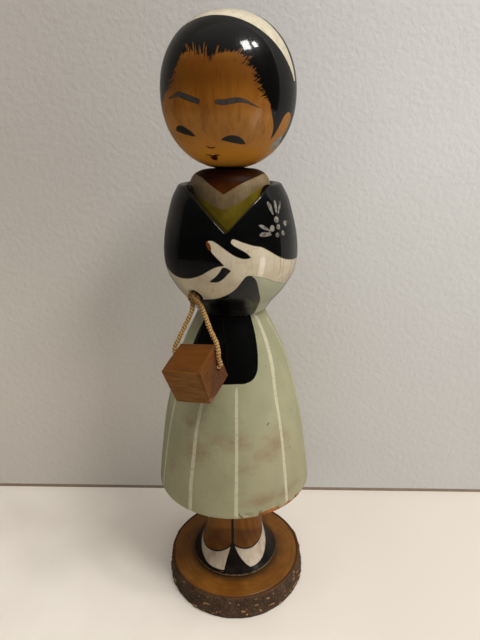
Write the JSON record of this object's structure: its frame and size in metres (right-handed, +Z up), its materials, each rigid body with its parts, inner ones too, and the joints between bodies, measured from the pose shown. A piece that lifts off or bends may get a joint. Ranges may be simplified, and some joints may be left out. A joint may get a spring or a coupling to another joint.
{
  "type": "kokeshi doll",
  "caption": "Turned wooden doll with an egg-shaped head, hollowed coat with a front notch, flared skirt, hanging block handbag and a bark-edged slice for a stand.",
  "frame": {"origin": "centre of the underside of the branch slice", "axes": "+Z up through the head; the face and the open collar look along -Y; +X is the doll's left-hand side"},
  "size_m": [0.0704, 0.0804, 0.2508],
  "materials": {
    "base_disc": "oiled",
    "base_bark": "rough bark",
    "foot_dowel": "bare",
    "legs": "painted and varnished",
    "skirt": "painted and varnished",
    "waist_dowel": "bare",
    "coat": "painted and varnished",
    "collar": "painted and varnished",
    "neck_dowel": "bare",
    "head": "painted and varnished",
    "cord_plug": "bare",
    "cord": "twisted cord",
    "bag_block": "stained"
  },
  "bodies": {
    "doll_body": {"base_disc": "base_disc", "base_bark": "base_bark", "foot_dowel": "foot_dowel", "legs": "legs", "skirt": "skirt", "waist_dowel": "waist_dowel", "coat": "coat", "collar": "collar", "neck_dowel": "neck_dowel"},
    "head": {"head": "head"},
    "cord_plug": {"cord_plug": "cord_plug"},
    "cord": {"cord": "cord"},
    "bag": {"bag_block": "bag_block"}
  },
  "joints": [
    {"name": "head_turn", "type": "hinge", "parent": "doll_body", "child": "head", "pos_m": [0, 0, 0.197], "axis": [0, 0, 1], "continuous": true},
    {"name": "cord_swing", "type": "hinge", "parent": "doll_body", "child": "cord_plug", "pos_m": [-0.0131, -0.0192, 0.1494], "axis": [-0.342, -0.9397, 0], "range_deg": [-35, 35]},
    {"name": "cord_lift", "type": "hinge", "parent": "cord_plug", "child": "cord", "pos_m": [-0.0131, -0.0192, 0.1494], "axis": [-0.9397, 0.342, 0], "range_deg": [0, 60]},
    {"name": "bag_rock", "type": "hinge", "parent": "cord", "child": "bag", "pos_m": [-0.01037, -0.0297, 0.12522], "axis": [0.9037, -0.4024, 0.1461], "range_deg": [-60, 35]}
  ]
}
